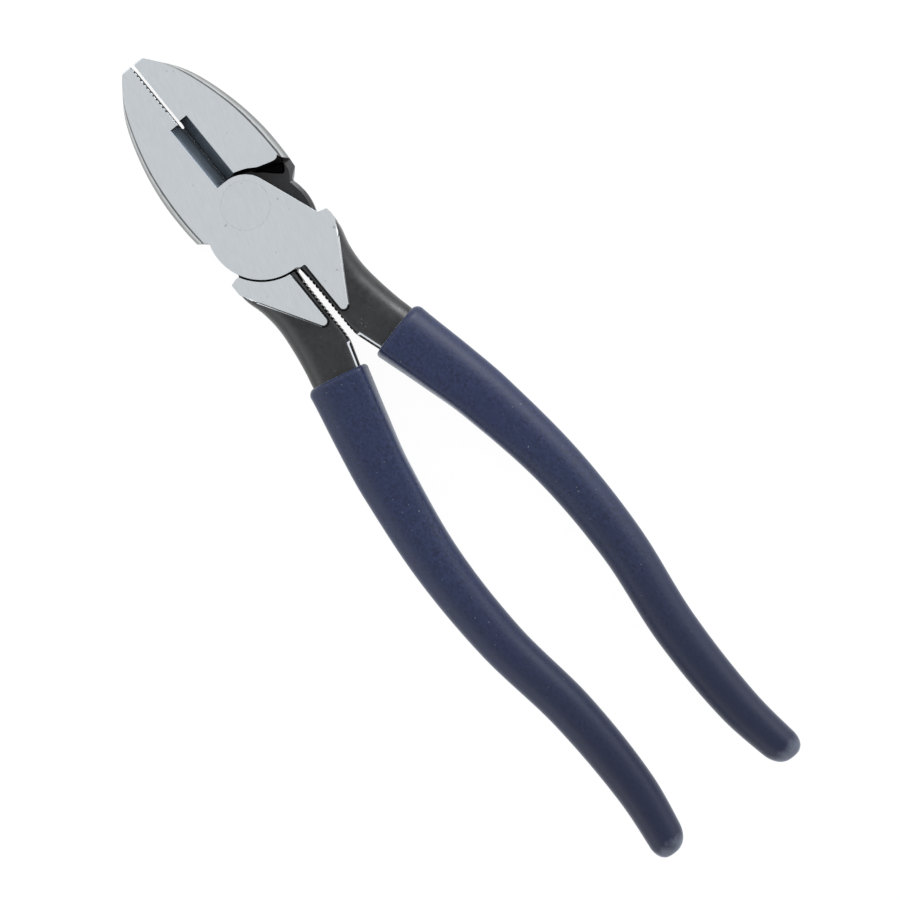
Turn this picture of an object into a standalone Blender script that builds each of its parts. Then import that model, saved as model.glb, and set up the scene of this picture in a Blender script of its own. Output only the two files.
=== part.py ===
"""Lineman pliers: two crossed forgings turning on one flush rivet, each with a dipped vinyl grip.

The tool lies flat: +Y runs to the jaw tips, +X to the right and +Z out of the front face. The origin is
on the rivet's axis at the rear face. Both forgings are the same shape: turned half a turn about Y, the
front one becomes the rear one. Lengths are in millimetres until a mesh is made, and heights count from
the plane halfway through the head.
"""

import math

import bmesh
import bpy

MM = 0.001

# The head
HALF_HEAD = 8.0
JAW_TIP = 44.55
JAW_FOOT = 0.3
JAW_GAP = 0.35
SLOT_FOOT = 25.5
KNIFE_GAP = 0.08
LAP_GAP = 0.04

# The rivet and its countersunk bore
RIVET_HEAD_RADIUS = 6.1
RIVET_SHANK_RADIUS = 5.0
RIVET_HEAD_DEPTH = 2.2
RIVET_CLEARANCE = 0.06
TURNED_STEPS = 48

# The lap joint: the front plate, and what the other half sweeps past it
HUB_RADIUS = 7.9
DISC_CENTRE_Y = -5.9
DISC_RADIUS = 13.75
DISC_GAP = 0.4
KNIFE_FOOT = 8.15

# The side cutters' recess in each face
RECESS_HALF_WIDTH = 2.7
RECESS_FRONT_TOP = 26.0
RECESS_REAR_TOP = 26.55
KNIFE_BEVEL_X = 0.8
KNIFE_BEVEL_HEIGHT = 1.7

# The grooves across the gripping faces and, below the joint, across the handles' inner edges
JAW_GROOVES = 12
JAW_GROOVE_FIRST = 30.45
JAW_GROOVE_PITCH = 1.23
JAW_GROOVE_DEPTH = 0.45
NECK_GROOVES = 15
NECK_GROOVE_FIRST = -23.4
NECK_GROOVE_PITCH = 1.2
NECK_GROOVE_DEPTH = 0.38
GROOVE_HALF_WIDTH = 0.48
CRIMP_BEVEL = 1.1

# The grips
GRIP_MOUTH = -46.6
GRIP_END = -190.5
GRIP_WALL = 1.6
GRIP_FIT = 0.2
GRIP_MOUTH_SLANT = 0.24
GRIP_SLANT_FADE = 26.0
GRIP_END_ROUND = 5.0
GRIP_END_FULLNESS = 0.7
CORE_END = -186.5
BORE_END = -186.8
# The lip's rounding: how far below the mouth, and how much of the wall is there.
GRIP_LIP = ((0.0, 0.4), (0.2, 0.7), (0.6, 0.9), (1.4, 1.0))

# Stations down the tool, each a height up the tool and then the sizes there.
# Jaw: the widest line of its crowned side, and how far that stands out from the flat faces.
JAW_STATIONS = (
    (JAW_TIP, 3.0, 0.0),
    (43.2, 4.1, 0.0),
    (41.3, 5.6, 0.0),
    (37.4, 8.45, 0.5),
    (33.4, 11.0, 1.3),
    (27.5, 13.3, 1.5),
    (21.6, 14.65, 1.8),
    (15.7, 15.45, 1.9),
    (7.9, 15.8, 1.75),
    (JAW_FOOT, 15.4, 1.5),
)
# Steel handle: inner edge, outer edge, half thickness, and the squareness of its inner and outer sides.
HANDLE_STATIONS = (
    (-14.0, 0.35, 15.0, 7.3, 9.0, 4.0),
    (-18.6, 0.35, 14.9, 7.2, 9.0, 3.4),
    (-23.1, 0.68, 13.8, 7.0, 9.0, 2.8),
    (-28.5, 0.7, 13.3, 6.7, 9.0, 2.6),
    (-34.4, 0.78, 13.7, 6.3, 9.0, 2.6),
    (-40.8, 0.92, 14.75, 5.8, 7.0, 2.6),
    (-44.7, 2.0, 15.65, 5.5, 5.0, 2.6),
    (-49.2, 3.47, 16.5, 5.2, 4.0, 2.6),
    (-61.5, 7.16, 19.15, 4.75, 3.6, 2.6),
    (-73.7, 10.5, 21.36, 4.6, 3.0, 2.6),
    (-98.3, 14.63, 23.8, 4.6, 2.6, 2.6),
    (-122.9, 15.1, 23.4, 4.6, 2.5, 2.5),
    (-147.5, 12.5, 20.3, 4.5, 2.5, 2.5),
    (-172.1, 12.8, 19.8, 4.4, 2.5, 2.5),
    (-190.5, 16.0, 21.7, 4.3, 2.5, 2.5),
)
RING_POINTS = 24
JAW_SIDE_POINTS = 7


def clear_scene():
    for obj in list(bpy.data.objects):
        bpy.data.objects.remove(obj, do_unlink=True)


def new_collection(name):
    collection = bpy.data.collections.new(name)
    bpy.context.scene.collection.children.link(collection)
    return collection


def new_material(name, color, roughness, metallic):
    material = bpy.data.materials.new(name)
    material.use_nodes = True
    shader = material.node_tree.nodes["Principled BSDF"]
    shader.inputs["Base Color"].default_value = (*color, 1.0)
    shader.inputs["Roughness"].default_value = roughness
    shader.inputs["Metallic"].default_value = metallic
    return material


def smooth(stations, y):
    """The row of sizes at y, on the smooth curve through the stations, which run down the tool."""
    last = len(stations) - 1
    i = 0
    while i < last - 1 and y < stations[i + 1][0]:
        i += 1
    here, there = stations[i], stations[i + 1]
    before, after = stations[max(i - 1, 0)], stations[min(i + 2, last)]
    span = there[0] - here[0]
    t = (y - here[0]) / span
    values = []
    for k in range(1, len(here)):
        slope_here = (there[k] - before[k]) / (there[0] - before[0]) * span
        slope_there = (after[k] - here[k]) / (after[0] - here[0]) * span
        values.append(
            (2 * t**3 - 3 * t**2 + 1) * here[k]
            + (t**3 - 2 * t**2 + t) * slope_here
            + (3 * t**2 - 2 * t**3) * there[k]
            + (t**3 - t**2) * slope_there
        )
    return values


def spaced(high, low, count):
    return [high + (low - high) * i / (count - 1) for i in range(count)]


def arc(x, y, radius, start, end, count):
    """Points on an arc between two angles in degrees."""
    turns = [math.radians(a) for a in spaced(start, end, count)]
    return [(x + radius * math.cos(a), y + radius * math.sin(a)) for a in turns]


def mirrored(points):
    return [(-x, y) for x, y in points]


def mesh_object(name, collection, vertices, faces):
    """A closed body from points in millimetres, its faces turned outwards."""
    mesh = bpy.data.meshes.new(name)
    mesh.from_pydata([(x * MM, y * MM, z * MM) for x, y, z in vertices], [], faces)
    tidy = bmesh.new()
    tidy.from_mesh(mesh)
    bmesh.ops.recalc_face_normals(tidy, faces=tidy.faces)
    tidy.to_mesh(mesh)
    tidy.free()
    obj = bpy.data.objects.new(name, mesh)
    collection.objects.link(obj)
    return obj


def loft(name, collection, rings):
    """A skin through rings of equal length, closed by a cap at each end."""
    size = len(rings[0])
    vertices = [point for ring in rings for point in ring]
    faces = [tuple(range(size)), tuple(range(len(vertices) - size, len(vertices)))]
    for first in range(0, len(vertices) - size, size):
        for i in range(size):
            j = (i + 1) % size
            faces.append((first + i, first + j, first + size + j, first + size + i))
    return mesh_object(name, collection, vertices, faces)


def extruded(name, collection, outline, low, high):
    """A flat outline with thickness, from the height low to the height high."""
    curve = bpy.data.curves.new(name, "CURVE")
    curve.dimensions = "2D"
    curve.fill_mode = "BOTH"
    curve.extrude = (high - low) / 2 * MM
    spline = curve.splines.new("POLY")
    spline.points.add(len(outline) - 1)
    for point, (x, y) in zip(spline.points, outline):
        point.co = (x * MM, y * MM, 0.0, 1.0)
    spline.use_cyclic_u = True
    drawn = bpy.data.objects.new(name, curve)
    drawn.location.z = (high + low) / 2 * MM
    return as_mesh(drawn, name, collection)


def turned(name, collection, profile):
    """A solid of revolution about Z, from a profile that runs from the top of the axis to its foot."""
    mesh = bpy.data.meshes.new(name)
    edges = [(i, i + 1) for i in range(len(profile) - 1)]
    mesh.from_pydata([(r * MM, 0.0, z * MM) for r, z in profile], edges, [])
    drawn = bpy.data.objects.new(name, mesh)
    screw = drawn.modifiers.new("turn", "SCREW")
    screw.steps = TURNED_STEPS
    screw.render_steps = TURNED_STEPS
    screw.use_merge_vertices = True
    screw.merge_threshold = 0.00001
    return as_mesh(drawn, name, collection)


def as_mesh(drawn, name, collection):
    """The object's evaluated shape as a welded mesh object, which takes the drawn object's place."""
    if not drawn.users_collection:
        bpy.context.scene.collection.objects.link(drawn)
    bpy.context.view_layer.update()
    graph = bpy.context.evaluated_depsgraph_get()
    mesh = bpy.data.meshes.new_from_object(drawn.evaluated_get(graph))
    weld = bmesh.new()
    weld.from_mesh(mesh)
    bmesh.ops.remove_doubles(weld, verts=weld.verts, dist=0.000001)
    bmesh.ops.recalc_face_normals(weld, faces=weld.faces)
    weld.to_mesh(mesh)
    weld.free()
    obj = bpy.data.objects.new(name, mesh)
    obj.matrix_world = drawn.matrix_world
    collection.objects.link(obj)
    bpy.data.objects.remove(drawn, do_unlink=True)
    return obj


def boolean(target, operation, tool):
    modifier = target.modifiers.new(tool.name, "BOOLEAN")
    modifier.operation = operation
    modifier.object = tool
    modifier.solver = "EXACT"
    tool.hide_render = True
    tool.display_type = "WIRE"


def jaw(collection):
    """The left jaw: flat faces and a flat inner side, with a crowned outer side."""
    rings = []
    heights = [JAW_TIP, 43.2, 41.3, 39.3] + spaced(37.4, JAW_FOOT, 14)
    for y in heights:
        widest, crown = smooth(JAW_STATIONS, y)
        ring = [(-KNIFE_GAP, y, -HALF_HEAD), (-KNIFE_GAP, y, HALF_HEAD)]
        for z in spaced(HALF_HEAD, -HALF_HEAD, JAW_SIDE_POINTS):
            ring.append((crown * (z / HALF_HEAD) ** 2 - widest, y, z))
        rings.append(ring)
    return loft("jaw", collection, rings)


def shoulder():
    """The top of the tang, from its inner corner out to its side."""
    return [(12.5, -12.0), (12.95, -12.35), (14.75, -12.8), (15.1, -13.3)]


def pad():
    """The ground triangle on the tang: down its outer side, round its tip and back up its inner side."""
    tip = arc(3.2, -33.9, 1.0, -35, -180, 7)
    return [(15.05, -16.9), (12.8, -20.9)] + tip


def front_plate(collection):
    """The lap plate with the tang's front pad."""
    outline = [(-3.4, HUB_RADIUS)]
    outline += arc(0, 0, HUB_RADIUS, 90, 11, 13)
    outline += shoulder() + pad()
    outline += [(2.2, -20.1), (0.35, -20.1)]
    outline += arc(0, DISC_CENTRE_Y, DISC_RADIUS, -90, -198.5, 25)
    outline += [(-13.85, -1.3), (-13.95, 0.0), (-13.9, 2.0)]
    return extruded("front_plate", collection, outline, LAP_GAP, HALF_HEAD)


def rear_pad(collection):
    """The tang behind the lap plate: its top fits round the other half's disc."""
    outline = [(12.4, -12.6)] + shoulder()[1:] + pad() + [(2.2, -20.1)]
    outline += arc(0, DISC_CENTRE_Y, DISC_RADIUS + DISC_GAP, -81, -28.5, 12)
    return extruded("rear_pad", collection, outline, -HALF_HEAD, 1.0)


def squared(value, squareness):
    """A cosine or sine pushed outwards: 2 keeps the ellipse, and more makes it a rounded box."""
    return math.copysign(abs(value) ** (2 / squareness), value)


def handle_ring(y, grow=0.0, slant=0.0, scale=1.0):
    """One section of the handle: wider by grow all round, leaning down the tool towards its inner side."""
    inner, outer, _, inner_squareness, outer_squareness = smooth(HANDLE_STATIONS, y)
    half_width = (outer - inner) / 2
    ring = []
    for i in range(RING_POINTS):
        turn = 2 * math.pi * (i + 0.5) / RING_POINTS
        squareness = outer_squareness if math.cos(turn) > 0 else inner_squareness
        across = squared(math.cos(turn), squareness) * scale
        up = squared(math.sin(turn), squareness) * scale
        leaning_y = y + slant * half_width * across
        near, far, half_thickness = smooth(HANDLE_STATIONS, leaning_y)[:3]
        x = (near + far) / 2 + ((far - near) / 2 + grow) * across
        ring.append((x, leaning_y, (half_thickness + grow) * up))
    return ring


def slant_at(y):
    """How far the grip's sections lean: most at its mouth, and none further down."""
    return GRIP_MOUTH_SLANT * max(0.0, 1.0 - (GRIP_MOUTH - y) / GRIP_SLANT_FADE)


def handle(collection):
    """The steel handle from under the tang to its hidden end."""
    heights = spaced(-14.0, -50.0, 13) + spaced(-55.0, CORE_END, 15)
    return loft("handle", collection, [handle_ring(y) for y in heights])


def grip(collection):
    """A dipped sleeve: open at its slanted mouth, with a rounded lip and a rounded closed end."""
    heights = spaced(GRIP_MOUTH - 2.0, GRIP_MOUTH - 27.0, 7)
    heights += spaced(-77.0, GRIP_END + GRIP_END_ROUND, 15)
    bore = [handle_ring(y, GRIP_FIT, slant_at(y)) for y in [GRIP_MOUTH] + heights[:-1] + [BORE_END]]
    skin = []
    for down, share in GRIP_LIP:
        y = GRIP_MOUTH - down
        skin.append(handle_ring(y, GRIP_FIT + share * GRIP_WALL, slant_at(y)))
    skin += [handle_ring(y, GRIP_FIT + GRIP_WALL, slant_at(y)) for y in heights]
    for turn in (25, 50, 70, 85):
        y = GRIP_END + GRIP_END_ROUND * (1 - math.sin(math.radians(turn)))
        scale = math.cos(math.radians(turn)) ** GRIP_END_FULLNESS
        skin.append(handle_ring(y, GRIP_FIT + GRIP_WALL, 0.0, scale))
    return loft("grip", collection, bore[::-1] + skin)


def rear_clearance(collection):
    """What the other half's plate and disc turn through, behind the lap."""
    jaw_edge = [(2.65, 8.5), (4.0, 8.0), (5.0, 7.6), (6.0, 7.1), (7.0, 6.5), (8.0, 5.95)]
    jaw_edge += [(9.5, 5.2), (11.8, 4.7), (13.6, 4.9), (17.0, 5.4)]
    outline = [(1.5, KNIFE_FOOT), (-2.65, KNIFE_FOOT)] + mirrored(jaw_edge)
    outline += [(-18.0, 5.4), (-18.0, -21.0), (-1.0, -21.0)]
    outline += arc(0, DISC_CENTRE_Y, DISC_RADIUS + DISC_GAP, -92, -28.5, 14)
    outline += [(12.4, -12.6)] + shoulder()[1:] + [(18.0, -13.3), (18.0, KNIFE_FOOT)]
    return extruded("rear_clearance", collection, outline, -HALF_HEAD - 1, LAP_GAP)


def knife_recess(collection, name, top, foot, side):
    """The bevelled recess beside one face's cutting edge; side is +1 at the front and -1 at the rear."""
    across = [(1.0, 9.5), (-RECESS_HALF_WIDTH, 9.5), (-RECESS_HALF_WIDTH, HALF_HEAD)]
    across += [(-KNIFE_BEVEL_X, KNIFE_BEVEL_HEIGHT), (-KNIFE_GAP, 0.0), (1.0, 0.0)]
    vertices = [(x, y, z * side) for y in (foot, top) for x, z in across]
    rings = [vertices[: len(across)], vertices[len(across) :]]
    return loft(name, collection, rings)


def jaw_slot(collection):
    """The gap between the gripping faces, with its round end above the knives."""
    outline = arc(0, SLOT_FOOT, JAW_GAP, 180, 360, 9)
    outline += [(JAW_GAP, JAW_TIP + 1), (-JAW_GAP, JAW_TIP + 1)]
    return extruded("jaw_slot", collection, outline, -9.0, 9.0)


def groove_row(first, pitch, count, edge, depth):
    """A zigzag outline whose points bite into the edge. edge and depth give x and depth at a height."""
    zigzag = []
    for i in range(count):
        y = first + pitch * i
        side = math.copysign(1.0, depth(y))
        zigzag.append((edge(y) - 0.05 * side, y - math.copysign(GROOVE_HALF_WIDTH, pitch)))
        zigzag.append((edge(y) + depth(y), y))
        zigzag.append((edge(y) - 0.05 * side, y + math.copysign(GROOVE_HALF_WIDTH, pitch)))
    return zigzag


def jaw_grooves(collection):
    zigzag = groove_row(
        JAW_GROOVE_FIRST, JAW_GROOVE_PITCH, JAW_GROOVES, lambda y: -JAW_GAP, lambda y: -JAW_GROOVE_DEPTH
    )
    outline = [(0.5, zigzag[0][1])] + zigzag + [(0.5, zigzag[-1][1])]
    return extruded("jaw_grooves", collection, outline, -9.0, 9.0)


def neck_grooves(collection):
    def depth(y):
        return NECK_GROOVE_DEPTH if y > -37 else 0.55 * NECK_GROOVE_DEPTH

    zigzag = groove_row(
        NECK_GROOVE_FIRST,
        -NECK_GROOVE_PITCH,
        NECK_GROOVES,
        lambda y: smooth(HANDLE_STATIONS, y)[0],
        depth,
    )
    outline = [(-0.5, zigzag[0][1])] + zigzag + [(-0.5, zigzag[-1][1])]
    return extruded("neck_grooves", collection, outline, -9.0, 9.0)


def crimp_bevel(collection, name, side):
    """The bevel along the crimping pocket, where the handles' inner edges spread; side is +1 or -1."""
    rings = []
    for y in spaced(-41.6, -48.6, 4):
        edge = smooth(HANDLE_STATIONS, y)[0]
        corners = [(edge - 1.5, 3.4), (edge, 3.4), (edge + CRIMP_BEVEL, 6.6), (edge - 1.5, 6.6)]
        rings.append([(x, y, z * side) for x, z in corners])
    return loft(name, collection, rings)


def rivet_profile(clearance, head_top):
    head = RIVET_HEAD_RADIUS + clearance
    shank = RIVET_SHANK_RADIUS + clearance
    neck = HALF_HEAD - RIVET_HEAD_DEPTH
    half = [(0.0, head_top), (head, head_top), (head, HALF_HEAD), (shank, neck)]
    if head_top == HALF_HEAD:
        half.pop(1)
    return half + [(r, -z) for r, z in reversed(half)]


def forging(collection, cutters):
    """The front half: jaw, lap plate, tang and handle in one piece of steel, as one mesh."""
    body = jaw(collection)
    for piece in (front_plate(cutters), rear_pad(cutters), handle(cutters)):
        boolean(body, "UNION", piece)
    removed = (
        rear_clearance(cutters),
        knife_recess(cutters, "front_recess", RECESS_FRONT_TOP, HUB_RADIUS, 1),
        knife_recess(cutters, "rear_recess", RECESS_REAR_TOP, KNIFE_FOOT - 1, -1),
        jaw_slot(cutters),
        jaw_grooves(cutters),
        neck_grooves(cutters),
        crimp_bevel(cutters, "front_crimp_bevel", 1),
        crimp_bevel(cutters, "rear_crimp_bevel", -1),
        turned("rivet_bore", cutters, rivet_profile(RIVET_CLEARANCE, HALF_HEAD + 1)),
    )
    for piece in removed:
        boolean(body, "DIFFERENCE", piece)
    return as_mesh(body, "forging", collection)


def finish(obj, name, material, parent):
    obj.name = name
    obj.data.name = name
    obj.data.materials.clear()
    obj.data.materials.append(material)
    obj.data.shade_smooth()
    obj.data.set_sharp_from_angle(angle=math.radians(30))
    obj.parent = parent


def turned_copy(obj, name, collection):
    """The same piece for the other half: half a turn about the tool's length."""
    copy = obj.copy()
    copy.name = name
    copy.rotation_euler.y = math.pi
    collection.objects.link(copy)
    return copy


def main():
    clear_scene()
    pliers = new_collection("lineman_pliers")
    cutters = new_collection("cutters")
    steel = new_material("ground_steel", (0.52, 0.53, 0.55), 0.35, 1.0)
    rivet_steel = new_material("rivet_steel", (0.56, 0.57, 0.58), 0.3, 1.0)
    vinyl = new_material("navy_vinyl", (0.035, 0.042, 0.115), 0.5, 0.0)

    pivot = bpy.data.objects.new("pivot_axis", None)
    pliers.objects.link(pivot)

    front = forging(pliers, cutters)
    finish(front, "front_forging", steel, pivot)
    turned_copy(front, "rear_forging", pliers)
    rivet = turned("rivet", pliers, rivet_profile(0.0, HALF_HEAD))
    finish(rivet, "pivot_rivet", rivet_steel, pivot)
    sleeve = grip(pliers)
    finish(sleeve, "front_grip", vinyl, pivot)
    turned_copy(sleeve, "rear_grip", pliers)

    pivot.location.z = HALF_HEAD * MM
    for obj in cutters.objects:
        obj.parent = pivot
    bpy.context.view_layer.update()


main()
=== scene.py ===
"""The looks of the lineman pliers: finely shaped steel, a flush rivet and dipped vinyl grips.

The shapes keep inside the CAD parts' box. Lengths are in millimetres, with heights counted from the
plane halfway through the head, until a mesh is made in metres. The front half is built with its
jaw on the left, and the rear half is the same mesh turned about the tool's length.
"""

import math

import bmesh
import bpy
from mathutils import Matrix, Vector


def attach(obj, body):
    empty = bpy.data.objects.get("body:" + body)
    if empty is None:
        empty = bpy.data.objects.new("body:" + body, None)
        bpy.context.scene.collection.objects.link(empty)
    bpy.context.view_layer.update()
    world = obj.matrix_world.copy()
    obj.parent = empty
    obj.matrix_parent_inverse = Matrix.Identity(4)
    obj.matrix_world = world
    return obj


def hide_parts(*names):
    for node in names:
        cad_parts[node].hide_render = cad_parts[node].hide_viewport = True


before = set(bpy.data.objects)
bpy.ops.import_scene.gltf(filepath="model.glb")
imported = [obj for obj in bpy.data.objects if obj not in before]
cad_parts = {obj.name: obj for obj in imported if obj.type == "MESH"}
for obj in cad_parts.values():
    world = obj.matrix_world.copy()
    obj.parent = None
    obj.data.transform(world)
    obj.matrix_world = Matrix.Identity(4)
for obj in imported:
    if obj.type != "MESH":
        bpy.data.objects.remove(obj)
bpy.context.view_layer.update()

MM = 0.001
# The height at which a cutter is past both faces
BEYOND = 9.0

# The head
HALF_HEAD = 8.0
JAW_TIP = 44.2
JAW_LOWEST = -2.0
JAW_GAP = 0.46
SLOT_TAPER_TOP = 26.4
SLOT_FOOT = 25.25
SLOT_FOOT_RADIUS = 0.34
KNIFE_GAP = 0.004
LAP_GAP = 0.04
EDGE_BREAK = 0.12

# The rivet and its countersunk bore
RIVET_HEAD_RADIUS = 6.1
RIVET_SHANK_RADIUS = 5.0
RIVET_HEAD_DEPTH = 2.2
RIVET_CLEARANCE = 0.02
TURNED_STEPS = 128

# The lap joint
HUB_RADIUS = 7.62
HUB_ARC_END = 20.8
DISC_CENTRE_Y = -6.1
DISC_RADIUS = 13.55
DISC_ARC_END = -198.5
DISC_GAP = 0.5
DISC_ROOM_END = -28.2
KNIFE_FOOT = 8.1
TANG_TOP = (12.75, -12.62)
# Beyond the head's widest line
OUTSIDE = 18.0

# The side cutters' recess in each face
RECESS_HALF_WIDTH = 2.65
RECESS_FRONT_TOP = 25.85
RECESS_REAR_TOP = 26.3
RECESS_WALL = 2.4
RECESS_CUTTER_TOP = 9.5
KNIFE_BEVEL_X = 0.8
KNIFE_BEVEL_HEIGHT = 2.6

# The grooves of the gripping faces and of the handles' inner edges
JAW_GROOVES = 12
JAW_GROOVE_FIRST = 30.2
JAW_GROOVE_PITCH = 1.23
JAW_GROOVE_DEPTH = 0.33
JAW_GROOVE_REACH = 7.4
NECK_GROOVES = 15
NECK_GROOVE_FIRST = -23.4
NECK_GROOVE_PITCH = 1.2
NECK_GROOVE_DEPTH = 0.5
GROOVE_HALF_WIDTH = 0.4

# The crimping pocket between the handles
POCKET_TOP = -40.9
POCKET_END = -48.6
POCKET_WIDTH = 1.3
POCKET_DEPTH = 1.2
POCKET_WALL_LEAN = 0.3
POCKET_FLOOR_SLOPE = math.radians(24)
POCKET_LIP = 0.58
POCKET_LIP_TOP = -41.9
POCKET_BOTTOM = 3.2
SKIRT_OFFSET = 0.003

# The grips
GRIP_MOUTH = -46.6
GRIP_END = -190.45
GRIP_WALL = 1.55
GRIP_FIT = 0.2
GRIP_LIP_FIT = 0.04
GRIP_LIP_LENGTH = 1.5
GRIP_MOUTH_SLANT = 0.22
GRIP_SLANT_FADE = 26.0
GRIP_END_ROUND = 5.0
GRIP_END_FULLNESS = 0.7
GRIP_WEDGE = 0.2
GRIP_WEDGE_END = -105.0
GRIP_CRISPNESS = 24.0
GRIP_UPPER_LENGTH = 27.0
GRIP_LOWER_TOP = -75.0
HANDLE_TOP = -14.0
HANDLE_UPPER_END = -50.0
HANDLE_LOWER_TOP = -53.0
CORE_END = -186.5
BORE_END = -186.8

# Jaw: the widest line of its crowned side, and how far that stands out from the flat faces.
JAW_STATIONS = (
    (JAW_TIP, 3.05, 0.0),
    (42.0, 5.1, 0.25),
    (38.9, 7.75, 0.85),
    (34.9, 10.2, 1.4),
    (28.8, 12.55, 1.6),
    (20.8, 14.6, 1.7),
    (12.7, 15.7, 1.85),
    (4.6, 15.8, 1.75),
    (JAW_LOWEST, 15.3, 1.6),
)
# Steel handle: inner edge, outer edge, half thickness, and the squareness of its inner and outer sides.
HANDLE_STATIONS = (
    (-14.0, 0.35, 15.0, 7.9, 9.0, 9.0),
    (-16.5, 0.35, 14.95, 7.85, 9.0, 7.5),
    (-18.6, 0.35, 14.75, 7.7, 9.0, 5.5),
    (-23.1, 0.62, 13.65, 7.1, 9.0, 2.9),
    (-28.5, 0.72, 13.2, 6.7, 9.0, 2.2),
    (-34.4, 0.78, 13.7, 6.3, 9.0, 2.1),
    (-40.8, 0.92, 14.75, 5.8, 7.0, 2.1),
    (-44.7, 2.0, 15.65, 5.5, 5.0, 2.1),
    (-49.2, 3.47, 16.5, 5.2, 4.0, 2.2),
    (-61.5, 7.16, 19.15, 4.75, 3.4, 2.15),
    (-73.7, 10.5, 21.36, 4.6, 2.8, 2.1),
    (-98.3, 14.63, 23.8, 4.6, 2.25, 2.1),
    (-122.9, 15.1, 23.4, 4.6, 2.15, 2.15),
    (-147.5, 12.5, 20.3, 4.5, 2.15, 2.15),
    (-172.1, 12.8, 19.8, 4.4, 2.2, 2.2),
    (-190.5, 16.0, 21.7, 4.3, 2.2, 2.2),
)
RING_POINTS = 80
JAW_SIDE_POINTS = 33

# The wall under the other half's jaw, at the face and at the lap plane.
JAW_EDGE_AT_FACE = (
    (2.62, KNIFE_FOOT), (4.0, 7.65), (6.0, 6.85), (8.0, 5.6), (10.0, 4.9), (12.0, 4.3),
    (12.9, 4.22), (13.55, 4.5), (13.9, 4.8), (14.4, 3.7), (17.0, 2.2),
)
JAW_EDGE_AT_LAP = (
    (2.62, KNIFE_FOOT), (4.0, 7.3), (6.0, 6.4), (8.0, 5.5), (10.0, 4.8), (12.0, 4.1),
    (12.9, 3.75), (13.55, 3.4), (13.9, 3.2), (14.4, 2.95), (17.0, 2.1),
)
# The shallow relief in the lap face at that wall's foot.
RELIEF_OUTLINE = (
    (6.2, 6.2), (8.0, 5.5), (10.0, 4.8), (12.0, 4.1), (13.75, 3.2), (13.7, 2.7),
    (13.1, 1.5), (12.2, 0.8), (11.4, 1.3), (9.9, 2.6), (8.4, 4.1), (6.9, 5.2),
)
RELIEF_DEPTH = 1.1
# The lap face's outer chamfer: its inner line, the way it faces, its width and its drop.
LAP_CHAMFER = (
    (-13.9, 2.6, 0.0, 1.9, 1.4),
    (-13.7, 0.9, 8.0, 1.7, 1.4),
    (-13.1, -0.4, 16.0, 1.7, 1.4),
    (-12.0, -1.8, 12.0, 1.7, 1.7),
    (-12.3, -3.3, -4.0, 1.2, 1.0),
    (-12.62, -5.4, 0.0, 0.9, 0.8),
    (-12.62, -7.4, 8.0, 0.85, 0.8),
    (-12.25, -9.4, 16.0, 0.85, 0.8),
    (-11.3, -11.4, 24.0, 0.85, 0.8),
)
JAW_FOOT_LINE = (
    (-17.5, 2.05), (-15.84, 0.8), (-14.0, -0.6), (-13.2, -1.3), (-12.88, -1.85), (-13.02, -2.3),
)

# The forging's finishes, in the order of its materials, and where they lie on the front half
# The two knife finishes are one steel, painted lighter on the front recess and darker on the rear one, as
# light and shade.
GROUND, OXIDE, KNIFE_PAINTED_LIT, JAW_SIDE, NECK, PAINTED_SHADE_BLACK, KNIFE_PAINTED_SHADE = range(7)
UNDER_JAW = ((-13.9, -2.0), (0.5, 8.2), (-7.9, 1.3))
TIP_BEVEL = 0.7
JAW_SIDE_INNER = -3.0
JAW_SIDE_LOWEST = -2.2
LAP_CHAMFER_TOP = 1.6
POCKET_FLOOR_OUTER = 5.0
POCKET_FLOOR_HEIGHTS = (2.5, 4.75)
NECK_TOP = -15.5
NECK_INNER = 8.0
PAD_STEP_OUTER = 13.0
PAD_STEP_ALONG = (-36.0, -20.3)
PAD_STEP_LOWEST = 5.0

# The lean of ground steel's grain, and two noises: cells a metre, detail and roughness
GRAIN_LEAN = math.radians(16.5)
MOTTLE = ((900.0, 700.0, 900.0), 4.0, 0.65)
WEAR_EDGE = ((500.0, 260.0, 500.0), 3.0, 0.6)

# Colours
STEEL = (0.575, 0.608, 0.638)
JAW_SIDE_STEEL = (0.60, 0.63, 0.64)
NECK_STEEL = (0.66, 0.69, 0.71)
OXIDE_DARK = (0.006, 0.0066, 0.0082)
OXIDE_LIGHT = (0.013, 0.0138, 0.0162)
OXIDE_SCRATCH = (0.10, 0.10, 0.10)
OXIDE_SCUFF = (0.18, 0.19, 0.19)
# Oxide painted near black, as the shade in the step round the pads and under the jaw
PAINTED_SHADE_TONES = ((0.001, 0.001, 0.0012), (0.002, 0.002, 0.0023))
KNIFE_TONES = ((0.085, 0.105, 0.128), (0.115, 0.138, 0.165))
VINYL_DARK = (0.0042, 0.0072, 0.026)
VINYL_LIGHT = (0.0145, 0.0225, 0.066)
VINYL_BLOTCH = (0.008, 0.0175, 0.050)
VINYL_CLOUD = (0.008, 0.013, 0.050)
VINYL_SPECK = (0.16, 0.19, 0.22)
VINYL_PAINTED_SHADE_TONE = (0.0035, 0.006, 0.024)
VINYL_DUST_AND_SHEEN = (0.085, 0.098, 0.135)
VINYL_SHEEN = (0.75, 0.82, 0.95, 1.0)
WHITE = (1.0, 1.0, 1.0, 1.0)

# Where the vinyl is painted darker towards its end, as shade, and where its end is paler, as dust and a
# painted sheen, and how uneven that edge is
VINYL_PAINTED_SHADE_SPAN = (-165.0, -95.0)
# The end's pale rim is partly dust and partly a painted sheen
VINYL_PALE_END_SPAN = (-188.8, -186.5)
VINYL_PALE_END_WAVER = 1.2
# How far the jaw's side and the neck are bare: two heights, and the waver of their edge
JAW_SIDE_BARE = (-1.0, 6.75, 0.3)
NECK_BARE = (6.85, 9.0, 0.2)
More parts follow.
